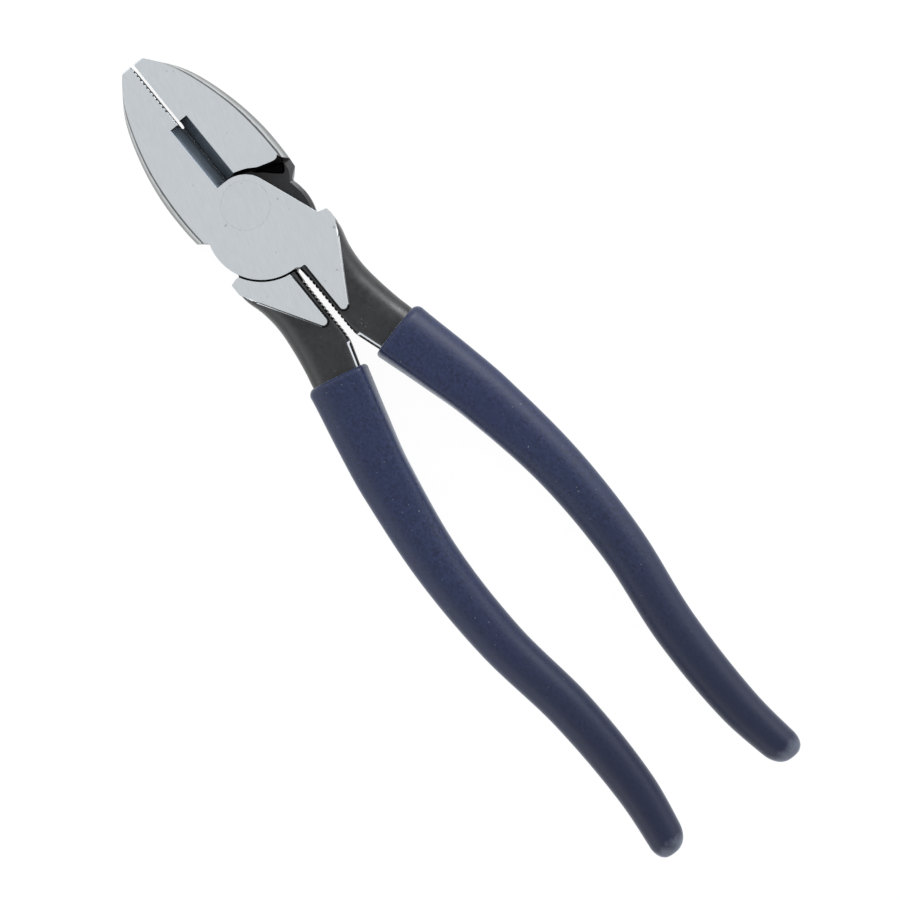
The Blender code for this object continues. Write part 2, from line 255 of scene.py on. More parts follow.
# Painted shade on the bare steel: two heights and how much of the steel's tone is left at the lower one
JAW_SIDE_PAINTED_SHADE = (4.0, 7.0, 0.28)
NECK_FADE = (0.0, 0.1, 1.0)
# How far the knife steel is painted lighter and darker, as light and shade on the front and rear recesses
KNIFE_PAINTED_LIT_TONE = 2.25
KNIFE_PAINTED_SHADE_TONE = 0.85

# The camera, the stage and the light, in metres
AIM = (0.00095, -0.0782, 0.012)
CAMERA_DISTANCE = 1.05
CAMERA_LEAN = math.radians(1.2)
VIEW_WIDTH = 0.22159
TOOL_TURN = math.radians(39.16)
FLOOR_GLOW = 0.95
FLOOR_GAP = 0.0002
FLOOR_SIZE = 6.0
FLOOR_TONE = (0.07, 0.07, 0.07, 1.0)
SKY_TOP = 0.84
SKY_EDGE = 2.2
SKY_FADE = (0.25, 0.75)
SOFTBOX_PLACE = (0.9, 0.35, 0.4)
SOFTBOX_SIZE = 0.5
SOFTBOX_POWER = 9.0
LIGHT_AIM = (0.0, -0.06, 0.0)


# ---------------------------------------------------------------- shapes


def smooth(stations, y):
    """The row of sizes at y, on the smooth curve through the stations, which run down the tool."""
    last = len(stations) - 1
    i = 0
    while i < last - 1 and y < stations[i + 1][0]:
        i += 1
    here, there = stations[i], stations[i + 1]
    before, after = stations[max(i - 1, 0)], stations[min(i + 2, last)]
    span = there[0] - here[0]
    t = (y - here[0]) / span
    values = []
    for k in range(1, len(here)):
        slope_here = (there[k] - before[k]) / (there[0] - before[0]) * span
        slope_there = (after[k] - here[k]) / (after[0] - here[0]) * span
        values.append(
            (2 * t**3 - 3 * t**2 + 1) * here[k]
            + (t**3 - 2 * t**2 + t) * slope_here
            + (3 * t**2 - 2 * t**3) * there[k]
            + (t**3 - t**2) * slope_there
        )
    return values


def spaced(high, low, count):
    return [high + (low - high) * i / (count - 1) for i in range(count)]


def arc(x, y, radius, start, end, count):
    """Points on an arc between two angles in degrees."""
    turns = [math.radians(a) for a in spaced(start, end, count)]
    return [(x + radius * math.cos(a), y + radius * math.sin(a)) for a in turns]


def curve_through(points, steps):
    """A smooth line through a few points, with that many steps between each two."""
    ends = [points[0]] + list(points) + [points[-1]]
    line = []
    for a, b, c, d in zip(ends, ends[1:], ends[2:], ends[3:]):
        for i in range(steps):
            t = i / steps
            weights = (-t + 2 * t**2 - t**3, 2 - 5 * t**2 + 3 * t**3, t + 4 * t**2 - 3 * t**3, t**3 - t**2)
            line.append(tuple(sum(w * p[k] for w, p in zip(weights, (a, b, c, d))) / 2 for k in range(2)))
    return line + [points[-1]]


def mirrored(points):
    return [(-x, y) for x, y in points]


def grown(outline, distance):
    """The outline moved outwards by a distance, or inwards by a negative one."""
    if not distance:
        return outline
    after = outline[1:] + outline[:1]
    area = sum(x * next_y - next_x * y for (x, y), (next_x, next_y) in zip(outline, after))
    side = math.copysign(1.0, area)
    normals = []
    for (x, y), (next_x, next_y) in zip(outline, after):
        length = math.hypot(next_x - x, next_y - y)
        normals.append((side * (next_y - y) / length, side * (x - next_x) / length))
    moved = []
    for i, (x, y) in enumerate(outline):
        (ax, ay), (bx, by) = normals[i - 1], normals[i]
        reach = distance / max(0.3, 1 + ax * bx + ay * by)
        moved.append((x + (ax + bx) * reach, y + (ay + by) * reach))
    return moved


def loft(name, rings):
    """A skin through rings of equal length, closed by a cap at each end."""
    size = len(rings[0])
    mesh = bpy.data.meshes.new(name)
    vertices = [(x * MM, y * MM, z * MM) for ring in rings for x, y, z in ring]
    faces = [tuple(range(size)), tuple(range(len(vertices) - size, len(vertices)))]
    for first in range(0, len(vertices) - size, size):
        for i in range(size):
            j = (i + 1) % size
            faces.append((first + i, first + j, first + size + j, first + size + i))
    mesh.from_pydata(vertices, [], faces)
    outward = bmesh.new()
    outward.from_mesh(mesh)
    bmesh.ops.recalc_face_normals(outward, faces=outward.faces)
    outward.to_mesh(mesh)
    outward.free()
    obj = bpy.data.objects.new(name, mesh)
    bpy.context.scene.collection.objects.link(obj)
    return obj


def prism(name, outline, layers):
    """A flat outline with thickness. Each layer is a height and how far the outline grows there."""
    return loft(name, [[(x, y, z) for x, y in grown(outline, grow)] for z, grow in layers])


def turned(name, profile):
    """A solid of revolution about Z, from a profile of (radius, height) between two points on the axis."""
    rings = []
    for radius, z in profile[1:-1]:
        angles = [2 * math.pi * i / TURNED_STEPS for i in range(TURNED_STEPS)]
        rings.append([(radius * math.cos(a), radius * math.sin(a), z) for a in angles])
    return loft(name, rings)


# ---------------------------------------------------------------- the forging


def jaw():
    """The left jaw: flat faces and a flat inner side, with a crowned outer side."""
    rings = []
    rounding = [(JAW_TIP, 0.3), (JAW_TIP - 0.1, 0.12), (JAW_TIP - 0.3, 0.0)]
    for y, pull in rounding + [(y, 0.0) for y in spaced(JAW_TIP - 0.6, JAW_LOWEST, 78)]:
        widest, crown = smooth(JAW_STATIONS, y)
        top = HALF_HEAD - pull
        ring = [(-KNIFE_GAP, y, -top), (-KNIFE_GAP, y, top)]
        for z in spaced(1.0, -1.0, JAW_SIDE_POINTS):
            ring.append((crown * z**2 - widest + pull, y, z * top))
        rings.append(ring)
    return loft("jaw", rings)


def tang_corner():
    """The tang's outer corner, from its top edge round to its side."""
    return [(13.2, -12.52)] + arc(14.68, -13.35, 0.4, 75, 0, 7)


def pad():
    """The ground triangle on the tang: down its outer side, round its tip and back up its inner side."""
    return [(15.05, -16.2)] + arc(3.2, -34.1, 1.0, -31, -180, 18)


def plate_layers(low):
    return [
        (low, 0.0),
        (HALF_HEAD - EDGE_BREAK, 0.0),
        (HALF_HEAD - 0.3 * EDGE_BREAK, -0.3 * EDGE_BREAK),
        (HALF_HEAD, -EDGE_BREAK),
    ]


def front_plate():
    """The lap plate with the tang's front pad."""
    outline = [(-3.4, HUB_RADIUS)]
    outline += arc(0, 0, HUB_RADIUS, 90, HUB_ARC_END, 56)
    outline += [(12.42, -11.55), (12.55, -12.0), (12.8, -12.3)] + tang_corner() + pad()
    outline += arc(1.7, -20.85, 0.5, 0, 90, 7) + [(0.8, -20.3), (0.4, -19.95)]
    outline += arc(0, DISC_CENTRE_Y, DISC_RADIUS, -90, DISC_ARC_END, 110)
    outline += [(-12.5, -1.0), (-12.5, 2.0)]
    return prism("front_plate", outline, plate_layers(LAP_GAP))


def rear_pad():
    """The tang behind the lap plate: its top fits round the other half's disc."""
    outline = [TANG_TOP] + tang_corner() + pad() + [(2.2, -20.15)]
    outline += arc(0, DISC_CENTRE_Y, DISC_RADIUS + DISC_GAP, -81, DISC_ROOM_END, 50)
    layers = [(-z, grow) for z, grow in plate_layers(-1.0)]
    return prism("rear_pad", outline, layers)


def pad_skirt(name, side):
    """The step round the ground pad's foot; side is +1 at the front and -1 at the rear.

    A hair's offset keeps the two faces' edges from lying in line.
    """
    outline = [(7.5, -21.4), (12.3, -20.75)] + pad()[1:] + [(2.2, -21.4)]
    outline = [(x + SKIRT_OFFSET * side, y) for x, y in outline]
    layers = [(4.6, 0.55), (7.0, 0.45), (7.72, 0.22), (7.8, -0.25)]
    return prism(name, outline, [(z * side, grow) for z, grow in layers])


def squared(value, squareness):
    """A cosine or sine pushed outwards: 2 keeps the ellipse, and more makes it a rounded box."""
    return math.copysign(abs(value) ** (2 / squareness), value)


def handle_ring(y, grow=0.0, slant=0.0, scale=1.0, wedge=0.0):
    """One section of the handle: wider by grow all round, leaning down the tool towards its inner side.

    A wedge draws the inner side in above and below its middle, as two facets.
    """
    inner, outer, _, inner_squareness, outer_squareness = smooth(HANDLE_STATIONS, y)
    half_width = (outer - inner) / 2
    ring = []
    for i in range(RING_POINTS):
        turn = 2 * math.pi * i / RING_POINTS
        outside = math.cos(turn) > 0
        squareness = outer_squareness if outside else inner_squareness + GRIP_CRISPNESS * wedge
        across = squared(math.cos(turn), squareness) * scale
        up = squared(math.sin(turn), squareness) * scale
        leaning_y = y + slant * half_width * across
        near, far, half_thickness = smooth(HANDLE_STATIONS, leaning_y)[:3]
        facet = 1.0 if outside else 1.0 - wedge * abs(up)
        x = (near + far) / 2 + ((far - near) / 2 + grow) * across * facet
        ring.append((x, leaning_y, (half_thickness + grow) * up))
    return ring


def handle():
    """The steel handle from under the tang to its hidden end."""
    heights = spaced(HANDLE_TOP, HANDLE_UPPER_END, 73) + spaced(HANDLE_LOWER_TOP, CORE_END, 40)
    return loft("handle", [handle_ring(y) for y in heights])


def rear_clearance():
    """What the other half's plate and disc turn through, behind the lap. Its wall under the jaw slopes."""
    rings = []
    levels = [(-BEYOND, JAW_EDGE_AT_FACE), (-HALF_HEAD, JAW_EDGE_AT_FACE), (LAP_GAP, JAW_EDGE_AT_LAP)]
    for z, edge in levels:
        outline = [(1.5, KNIFE_FOOT)] + curve_through(mirrored(edge), 4)
        outline += [(-OUTSIDE, edge[-1][1]), (-OUTSIDE, -21.0), (-1.0, -21.0)]
        outline += arc(0, DISC_CENTRE_Y, DISC_RADIUS + DISC_GAP, -92, DISC_ROOM_END, 60)
        outline += [TANG_TOP] + tang_corner()[:1] + [(OUTSIDE, -13.4), (OUTSIDE, KNIFE_FOOT)]
        rings.append([(x, y, z) for x, y in outline])
    return loft("rear_clearance", rings)


def relief():
    """The shallow scoop in the lap face at the foot of that wall."""
    outline = curve_through(mirrored(RELIEF_OUTLINE), 3)
    return prism("relief", outline, [(-0.5, 0.0), (LAP_GAP, 0.0), (RELIEF_DEPTH, -0.45)])


def lap_chamfer():
    """The chamfer that runs round the lap face's outer edge, widest at the jaw's foot."""
    rings = []
    for x, y, way, width, drop in LAP_CHAMFER:
        reach = width + 2.0
        far_x = x - reach * math.cos(math.radians(way))
        far_y = y - reach * math.sin(math.radians(way))
        far_z = LAP_GAP + drop * reach / width
        rings.append([(x, y, -0.6), (x, y, LAP_GAP), (far_x, far_y, far_z), (far_x, far_y, -0.6)])
    return loft("lap_chamfer", rings)


def jaw_foot():
    """What is cleared below the jaw's slanted foot, outside the disc."""
    outline = list(JAW_FOOT_LINE) + [(-17.5, -2.3)]
    return prism("jaw_foot", outline, [(-BEYOND, 0), (BEYOND, 0)])


def knife_recess(name, top, foot, side):
    """The bevelled recess beside one face's cutting edge; side is +1 at the front and -1 at the rear."""
    edge = RECESS_HALF_WIDTH + EDGE_BREAK
    across = [(1.0, RECESS_CUTTER_TOP), (-edge, RECESS_CUTTER_TOP), (-edge, HALF_HEAD)]
    across += [(-RECESS_HALF_WIDTH, HALF_HEAD - EDGE_BREAK), (-RECESS_HALF_WIDTH, HALF_HEAD - RECESS_WALL)]
    across += [(-KNIFE_BEVEL_X, KNIFE_BEVEL_HEIGHT), (-KNIFE_GAP, 0.0), (1.0, 0.0)]
    return loft(name, [[(x, y, z * side) for x, z in across] for y in (foot, top)])


def jaw_slot():
    """The gap between the gripping faces, which narrows to a round end above the knives."""
    outline = arc(0, SLOT_FOOT, SLOT_FOOT_RADIUS, 180, 360, 17)
    outline += [(JAW_GAP, SLOT_TAPER_TOP), (JAW_GAP, JAW_TIP + 1)]
    outline += [(-JAW_GAP, JAW_TIP + 1), (-JAW_GAP, SLOT_TAPER_TOP)]
    inside = HALF_HEAD - 0.5 * EDGE_BREAK
    flare = 0.5 * EDGE_BREAK
    layers = [(-BEYOND, flare), (-HALF_HEAD, flare), (-inside, 0)]
    layers += [(inside, 0), (HALF_HEAD, flare), (BEYOND, flare)]
    return prism("jaw_slot", outline, layers)


def groove_row(first, pitch, count, edge, depth):
    """A zigzag outline whose points bite into the edge. edge and depth give x and depth at a height."""
    zigzag = []
    for i in range(count):
        y = first + pitch * i
        side = math.copysign(1.0, depth(y))
        half = math.copysign(GROOVE_HALF_WIDTH, pitch)
        zigzag.append((edge(y) - 0.05 * side, y - half))
        zigzag.append((edge(y) + depth(y), y))
        zigzag.append((edge(y) - 0.05 * side, y + half))
    return zigzag


def jaw_grooves():
    zigzag = groove_row(
        JAW_GROOVE_FIRST, JAW_GROOVE_PITCH, JAW_GROOVES, lambda y: -JAW_GAP, lambda y: -JAW_GROOVE_DEPTH
    )
    outline = [(0.5, zigzag[0][1])] + zigzag + [(0.5, zigzag[-1][1])]
    return prism("jaw_grooves", outline, [(-JAW_GROOVE_REACH, 0), (BEYOND, 0)])


def inner_edge(y):
    return smooth(HANDLE_STATIONS, y)[0]


def neck_grooves():
    def depth(y):
        return NECK_GROOVE_DEPTH if y > -37 else 0.6 * NECK_GROOVE_DEPTH

    zigzag = groove_row(NECK_GROOVE_FIRST, -NECK_GROOVE_PITCH, NECK_GROOVES, inner_edge, depth)
    outline = [(-0.5, zigzag[0][1])] + zigzag + [(-0.5, zigzag[-1][1])]
    return prism("neck_grooves", outline, [(-BEYOND, 0), (BEYOND, 0)])


def crimp_pocket(name, side):
    """The pocket where the handles' inner edges spread: a wall, a bright sloped floor and a lip."""
    rings = []
    for y in spaced(POCKET_TOP, POCKET_END, 60):
        edge, _, top = smooth(HANDLE_STATIONS, y)[:3]
        roundness = min(1.0, (POCKET_TOP - y) / POCKET_WIDTH)
        width = POCKET_WIDTH * math.sqrt(1 - (1 - roundness) ** 2) + 0.01
        lip = POCKET_LIP * min(1.0, max(0.0, (POCKET_LIP_TOP - y) / 0.4))
        foot = max(width - POCKET_WALL_LEAN, lip + 0.005)
        floor = top - POCKET_DEPTH - math.tan(POCKET_FLOOR_SLOPE) * (foot - lip)
        corners = [(edge - 1.5, top - POCKET_BOTTOM), (edge + lip - 0.1, top - POCKET_BOTTOM)]
        corners += [(edge + lip, floor), (edge + foot, top - POCKET_DEPTH)]
        corners += [(edge + width, top - 0.1), (edge + width + 0.1, top + 0.3)]
        corners += [(edge + width + 0.1, HALF_HEAD), (edge - 1.5, HALF_HEAD)]
        rings.append([(x, y, z * side) for x, z in corners])
    return loft(name, rings)


def rivet_profile(clearance, head_top):
    """Half the section of the rivet, or with a clearance of its bore, between the ends of its axis."""
    head = RIVET_HEAD_RADIUS + clearance
    shank = RIVET_SHANK_RADIUS + clearance
    half = [(0.0, head_top), (head, head_top)]
    if head_top > HALF_HEAD:
        half.append((head, HALF_HEAD))
    half.append((shank, HALF_HEAD - RIVET_HEAD_DEPTH))
    return half + [(r, -z) for r, z in reversed(half)]


def combine(target, operation, tool):
    modifier = target.modifiers.new(tool.name, "BOOLEAN")
    modifier.operation = operation
    modifier.object = tool
    modifier.solver = "EXACT"


def forging_mesh():
    """Jaw, lap plate, tang and handle as one closed mesh, for both halves."""
    body = jaw()
    joined = [front_plate(), rear_pad(), pad_skirt("front_skirt", 1), pad_skirt("rear_skirt", -1), handle()]
    removed = [
        rear_clearance(),
        relief(),
        lap_chamfer(),
        jaw_foot(),
        knife_recess("front_recess", RECESS_FRONT_TOP, HUB_RADIUS, 1),
        knife_recess("rear_recess", RECESS_REAR_TOP, KNIFE_FOOT - 1, -1),
        jaw_slot(),
        jaw_grooves(),
        neck_grooves(),
        crimp_pocket("front_pocket", 1),
        crimp_pocket("rear_pocket", -1),
        turned("rivet_bore", rivet_profile(RIVET_CLEARANCE, BEYOND)),
    ]
    for tool in joined:
        combine(body, "UNION", tool)
    for tool in removed:
        combine(body, "DIFFERENCE", tool)
    bpy.context.view_layer.update()
    graph = bpy.context.evaluated_depsgraph_get()
    mesh = bpy.data.meshes.new_from_object(body.evaluated_get(graph))
    for tool in [body] + joined + removed:
        bpy.data.objects.remove(tool, do_unlink=True)
    clean = bmesh.new()
    clean.from_mesh(mesh)
    bmesh.ops.remove_doubles(clean, verts=clean.verts, dist=0.000001)
    bmesh.ops.dissolve_degenerate(clean, edges=clean.edges, dist=0.000001)
    clean.to_mesh(mesh)
    clean.free()
    return mesh


def in_recess(x, y, z):
    top = RECESS_FRONT_TOP if z > 0 else RECESS_REAR_TOP
    foot = HUB_RADIUS if z > 0 else KNIFE_FOOT
    return -RECESS_HALF_WIDTH - EDGE_BREAK < x < 0 and foot < y < top - 0.01


def between(value, limits):
    return limits[0] < value < limits[1]


def finish_of(centre, normal):
    """Which of the forging's finishes a face has. A face is level where its normal points along Z."""
    x, y, z = (value / MM for value in centre)
    level = abs(normal.z)
    # The front recess's bevels take the knife steel painted lighter and the rear's take it painted darker,
    # as light and shade
    if in_recess(x, y, z) and level < 0.95:
        return KNIFE_PAINTED_LIT if z > 0 else KNIFE_PAINTED_SHADE
    if abs(z) > HALF_HEAD - 1.5 * EDGE_BREAK and level > 0.3:
        return GROUND
    # Under the other half's jaw the faces are painted near black, as shade
    under_jaw = all(between(value, limits) for value, limits in zip((x, y, z), UNDER_JAW))
    if under_jaw and (z > 1.5 * LAP_GAP or level < 0.9):
        return PAINTED_SHADE_BLACK
    if y > JAW_TIP - TIP_BEVEL:
        return GROUND
    on_lap_chamfer = 0 < z < LAP_CHAMFER_TOP and normal.z < -0.3
    beside_jaw = x < JAW_SIDE_INNER and y > JAW_SIDE_LOWEST
    if beside_jaw and normal.x < -0.3 and abs(normal.y) < 0.75 and not on_lap_chamfer:
        return JAW_SIDE
    if x > -JAW_GAP - 0.05 and y > SLOT_FOOT and normal.x > 0.9:
        return GROUND
    in_pocket = 0 < x < POCKET_FLOOR_OUTER and POCKET_END < y < POCKET_TOP
    if in_pocket and between(abs(z), POCKET_FLOOR_HEIGHTS) and 0.86 < level < 0.95:
        return GROUND
    if y < NECK_TOP and x > NECK_INNER and abs(z) < HALF_HEAD - 0.25:
        return NECK
    # The steep step round the ground pad is painted near black, as shade
    round_pad = x < PAD_STEP_OUTER and between(y, PAD_STEP_ALONG)
    if round_pad and PAD_STEP_LOWEST < abs(z) < HALF_HEAD - EDGE_BREAK and 0.02 < level < 0.5:
        return PAINTED_SHADE_BLACK
    return OXIDE


def finish_forging(mesh, materials):
    mesh.materials.clear()
    for material in materials:
        mesh.materials.append(material)
    for face in mesh.polygons:
        face.material_index = finish_of(face.center, face.normal)


def slant_at(y):
    """How far the grip's sections lean: most at its mouth, and none further down."""
    return GRIP_MOUTH_SLANT * max(0.0, 1.0 - (GRIP_MOUTH - y) / GRIP_SLANT_FADE)


def wedge_at(y):
    """How far the facets of the grip's inner side draw in: most at its mouth, and none further down."""
    return GRIP_WEDGE * max(0.0, 1.0 - (GRIP_MOUTH - y) / (GRIP_MOUTH - GRIP_WEDGE_END)) ** 1.5


def grip_mesh():
    """A dipped sleeve: open at its slanted mouth, with a rounded lip and a rounded closed end."""
    heights = spaced(GRIP_MOUTH - GRIP_LIP_LENGTH - 0.3, GRIP_MOUTH - GRIP_UPPER_LENGTH, 30)
    heights += spaced(GRIP_LOWER_TOP, GRIP_END + GRIP_END_ROUND, 100)
    bore_heights = heights[:-1:4] + [BORE_END]
    bore = [handle_ring(GRIP_MOUTH, GRIP_LIP_FIT, slant_at(GRIP_MOUTH))]
    bore += [handle_ring(y, GRIP_FIT, slant_at(y)) for y in bore_heights]
    skin = []
    for turn in spaced(10, 90, 10):
        y = GRIP_MOUTH - GRIP_LIP_LENGTH * (1 - math.cos(math.radians(turn)))
        wall = GRIP_WALL * math.sin(math.radians(turn))
        skin.append(handle_ring(y, GRIP_FIT + wall, slant_at(y), wedge=wedge_at(y) * wall / GRIP_WALL))
    skin += [handle_ring(y, GRIP_FIT + GRIP_WALL, slant_at(y), wedge=wedge_at(y)) for y in heights]
    for turn in spaced(6, 88, 16):
        y = GRIP_END + GRIP_END_ROUND * (1 - math.sin(math.radians(turn)))
        scale = math.cos(math.radians(turn)) ** GRIP_END_FULLNESS
        skin.append(handle_ring(y, GRIP_FIT + GRIP_WALL, 0.0, scale))
    obj = loft("grip", bore[::-1] + skin)
    mesh = obj.data
    bpy.data.objects.remove(obj, do_unlink=True)
    return mesh


# ---------------------------------------------------------------- materials


def new_material(name):
    material = bpy.data.materials.new(name)
    material.use_nodes = True
    return material, material.node_tree, material.node_tree.nodes["Principled BSDF"]


def node(tree, kind, **inputs):
    made = tree.nodes.new(kind)
    for name, value in inputs.items():
        made.inputs[name.replace("_", " ")].default_value = value
    return made


def math_node(tree, operation, first, second):
    made = tree.nodes.new("ShaderNodeMath")
    made.operation = operation
    for socket, value in zip(made.inputs, (first, second)):
        if isinstance(value, (int, float)):
            socket.default_value = value
        else:
            tree.links.new(value, socket)
    return made.outputs[0]


def position(tree):
    """The three object coordinates, in metres."""
    place = tree.nodes.new("ShaderNodeTexCoord")
    parts = tree.nodes.new("ShaderNodeSeparateXYZ")
    tree.links.new(place.outputs["Object"], parts.inputs[0])
    return parts.outputs


def noise(tree, scale, detail=2.0, roughness=0.5, lean=None):
    """Noise with so many cells a metre along each axis.

    With a lean, its cells turn by that angle, the same way on both faces as each is looked at.
    """
    x, y, z = position(tree)
    if lean is not None:
        side = math_node(tree, "SIGN", z, 0.0)
        x = math_node(tree, "MULTIPLY", x, side)
    joined = tree.nodes.new("ShaderNodeCombineXYZ")
    for socket, value in zip(joined.inputs, (x, y, z)):
        tree.links.new(value, socket)
    turn = tree.nodes.new("ShaderNodeVectorRotate")
    turn.rotation_type = "Z_AXIS"
    turn.inputs["Angle"].default_value = lean or 0.0
    tree.links.new(joined.outputs[0], turn.inputs["Vector"])
    mapping = tree.nodes.new("ShaderNodeMapping")
    mapping.inputs["Scale"].default_value = scale
    tree.links.new(turn.outputs[0], mapping.inputs["Vector"])
    made = node(tree, "ShaderNodeTexNoise", Scale=1.0, Detail=detail, Roughness=roughness)
    tree.links.new(mapping.outputs[0], made.inputs["Vector"])
    return made.outputs["Fac"]


def ramp(tree, value, low, high, start, end):
    """The value between low and high, spread from start to end and held beyond."""
    made = node(tree, "ShaderNodeMapRange", From_Min=low, From_Max=high, To_Min=start, To_Max=end)
    tree.links.new(value, made.inputs["Value"])
    return made.outputs["Result"]


def mixed(tree, factor, first, second):
    """A mix of two colours; each is a colour or a socket."""
    made = tree.nodes.new("ShaderNodeMix")
    made.data_type = "RGBA"
    tree.links.new(factor, made.inputs[0])
    for socket, value in ((made.inputs[6], first), (made.inputs[7], second)):
        if isinstance(value, tuple):
            socket.default_value = (*value, 1.0)
        else:
            tree.links.new(value, socket)
    return made.outputs[2]


def bump(tree, shader, height, strength, distance):
    made = node(tree, "ShaderNodeBump", Strength=strength, Distance=distance)
    tree.links.new(height, made.inputs["Height"])
    tree.links.new(made.outputs["Normal"], shader.inputs["Normal"])


def scaled(colour, factor):
    return tuple(min(1.0, value * factor) for value in colour)


def steel_colour(tree, tone):
    """Ground steel's fine streaks, faint clouds and a few dark pinpricks."""
    streaks = noise(tree, (2600.0, 260.0, 900.0), 3.0, 0.6, GRAIN_LEAN)
    clouds = noise(tree, (90.0, 60.0, 90.0), 3.0)
    pinpricks = noise(tree, (700.0, 700.0, 700.0), 0.0)
    lined = mixed(tree, ramp(tree, streaks, 0.3, 0.7, 0.0, 1.0), scaled(tone, 0.965), scaled(tone, 1.03))
    clouded = mixed(tree, ramp(tree, clouds, 0.35, 0.75, 0.0, 0.3), lined, scaled(tone, 0.93))
    return mixed(tree, ramp(tree, pinpricks, 0.13, 0.17, 0.5, 0.0), clouded, scaled(tone, 0.45))


def steel_roughness(tree):
    return ramp(tree, noise(tree, (7000.0, 400.0, 900.0), 3.0, 0.6, GRAIN_LEAN), 0.3, 0.7, 0.36, 0.46)


def ground_steel(name, tone):
    """Satin ground steel with a fine grain that leans across the tool."""
    material, tree, shader = new_material(name)
    shader.inputs["Metallic"].default_value = 1.0
    tree.links.new(steel_colour(tree, tone), shader.inputs["Base Color"])
    tree.links.new(steel_roughness(tree), shader.inputs["Roughness"])
    bump(tree, shader, noise(tree, (6000.0, 350.0, 900.0), 2.0, 0.6, GRAIN_LEAN), 0.1, 0.00002)
    return material


def oxide_colour(tree):
    """Black oxide, mottled, worn in patches and marked by a few scratches and scuffs."""
    mottle = noise(tree, *MOTTLE)
    patches = noise(tree, (140.0, 90.0, 140.0), 3.0)
    scratches = noise(tree, (500.0, 2600.0, 900.0), 1.0, 0.5, math.radians(35))
    scuffs = noise(tree, (1900.0, 1500.0, 1900.0), 2.0)
    base = mixed(tree, ramp(tree, mottle, 0.35, 0.65, 0.0, 1.0), OXIDE_DARK, OXIDE_LIGHT)
    worn = mixed(tree, ramp(tree, patches, 0.5, 0.75, 0.0, 0.5), base, scaled(OXIDE_LIGHT, 1.5))
    marked = mixed(tree, ramp(tree, scratches, 0.72, 0.80, 0.0, 0.35), worn, OXIDE_SCRATCH)
    where = math_node(tree, "MULTIPLY", ramp(tree, patches, 0.55, 0.65, 0.0, 1.0), scuffs)
    return mixed(tree, ramp(tree, where, 0.64, 0.72, 0.0, 0.7), marked, OXIDE_SCUFF)


def oxide_roughness(tree):
    return ramp(tree, noise(tree, *MOTTLE), 0.3, 0.7, 0.28, 0.40)


def black_oxide(name):
    material, tree, shader = new_material(name)
    shader.inputs["Specular IOR Level"].default_value = 0.42
    tree.links.new(oxide_colour(tree), shader.inputs["Base Color"])
    tree.links.new(oxide_roughness(tree), shader.inputs["Roughness"])
    bump(tree, shader, noise(tree, *MOTTLE), 0.15, 0.00004)
    return material


def part_ground(name, tone, bare_range, painted_shade_fade):
    """Steel and oxide on one surface: bare between two heights from the mid-plane, at an uneven edge.

    The steel is painted darker as shade, from the higher to the lower of the fade's two heights.
    """
    bare_above, bare_below, waver = bare_range
    material, tree, shader = new_material(name)
    shader.inputs["Specular IOR Level"].default_value = 0.42
    height = math_node(tree, "ABSOLUTE", position(tree)[2], 0.0)
    edge = noise(tree, *WEAR_EDGE)
    height = math_node(tree, "ADD", height, ramp(tree, edge, 0.3, 0.7, -waver * MM, waver * MM))
    above = ramp(tree, height, (bare_above - 0.1) * MM, (bare_above + 0.1) * MM, 0.0, 1.0)
    below = ramp(tree, height, (bare_below - 0.1) * MM, (bare_below + 0.1) * MM, 1.0, 0.0)
    bare = math_node(tree, "MULTIPLY", above, below)
    tree.links.new(bare, shader.inputs["Metallic"])
    fade_low, fade_high, least = painted_shade_fade
    # Painted shade: the bare steel darker towards the mid-plane
    painted_shade_amount = ramp(tree, height, fade_low * MM, fade_high * MM, 1.0, 0.0)
    steel = mixed(tree, painted_shade_amount, steel_colour(tree, tone), scaled(tone, least))
    tree.links.new(mixed(tree, bare, oxide_colour(tree), steel), shader.inputs["Base Color"])
    rough = math_node(tree, "ADD", oxide_roughness(tree), math_node(tree, "MULTIPLY", bare, 0.04))
    tree.links.new(rough, shader.inputs["Roughness"])
    bump(tree, shader, noise(tree, *MOTTLE), 0.1, 0.00003)
    return material


def painted_shade_oxide(name):
    """Oxide painted near black with almost no gloss, as shade in the step round the ground pads and under
    the jaw.
    """
    material, tree, shader = new_material(name)
    mottle = noise(tree, *MOTTLE)
    tone = mixed(tree, ramp(tree, mottle, 0.35, 0.65, 0.0, 1.0), *PAINTED_SHADE_TONES)
    shader.inputs["Specular IOR Level"].default_value = 0.05
    tree.links.new(tone, shader.inputs["Base Color"])
    tree.links.new(ramp(tree, mottle, 0.3, 0.7, 0.5, 0.7), shader.inputs["Roughness"])
    return material


def knife_steel(name, painted_light_scale):
    """The cutters' hardened bevels: a dull blue-grey, painted lighter or darker by a scale as light and
    shade.
    """
    material, tree, shader = new_material(name)
    shader.inputs["Specular IOR Level"].default_value = 0.6
    clouds = noise(tree, (500.0, 200.0, 500.0), 3.0)
    lines = noise(tree, (3000.0, 200.0, 3000.0), 2.0)
    # The scale paints the whole bevel lighter or darker, as light and shade
    dull, bright = (scaled(tone, painted_light_scale) for tone in KNIFE_TONES)
    tone = mixed(tree, ramp(tree, clouds, 0.3, 0.7, 0.0, 1.0), dull, bright)
    tree.links.new(tone, shader.inputs["Base Color"])
    tree.links.new(ramp(tree, lines, 0.3, 0.7, 0.38, 0.5), shader.inputs["Roughness"])
    bump(tree, shader, lines, 0.1, 0.00002)
    return material


